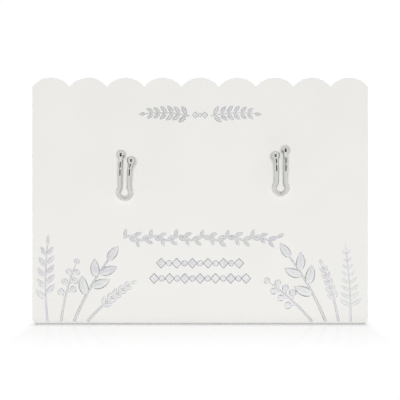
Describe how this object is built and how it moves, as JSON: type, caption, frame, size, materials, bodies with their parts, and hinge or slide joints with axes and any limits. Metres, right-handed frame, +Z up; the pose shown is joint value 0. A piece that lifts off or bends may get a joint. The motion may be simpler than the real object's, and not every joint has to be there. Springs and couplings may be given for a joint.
{
  "type": "pair of hoop charm earrings on a display card",
  "caption": "Silver-tone hairpin hoops with ball ends and a round seat for a charm, on posts through a scalloped display card that stands on a folded foot.",
  "frame": {"origin": "on the floor, at the middle of the box that holds the whole thing", "axes": "+Z up, the card's front faces -Y and its foot reaches back along +Y, +X to the right as seen from the front"},
  "size_m": [0.1016, 0.047, 0.0746],
  "materials": {
    "card_stock": "uncoated warm white board with a fine tooth",
    "silver_plate": "polished silver-tone plating on brass",
    "silver_foil": "thin hot-stamped silver foil on the card's front"
  },
  "bodies": {
    "root": {"card": "card_stock", "left_hoop": "silver_plate", "right_hoop": "silver_plate", "left_clutch": "silver_plate", "right_clutch": "silver_plate"}
  },
  "joints": []
}
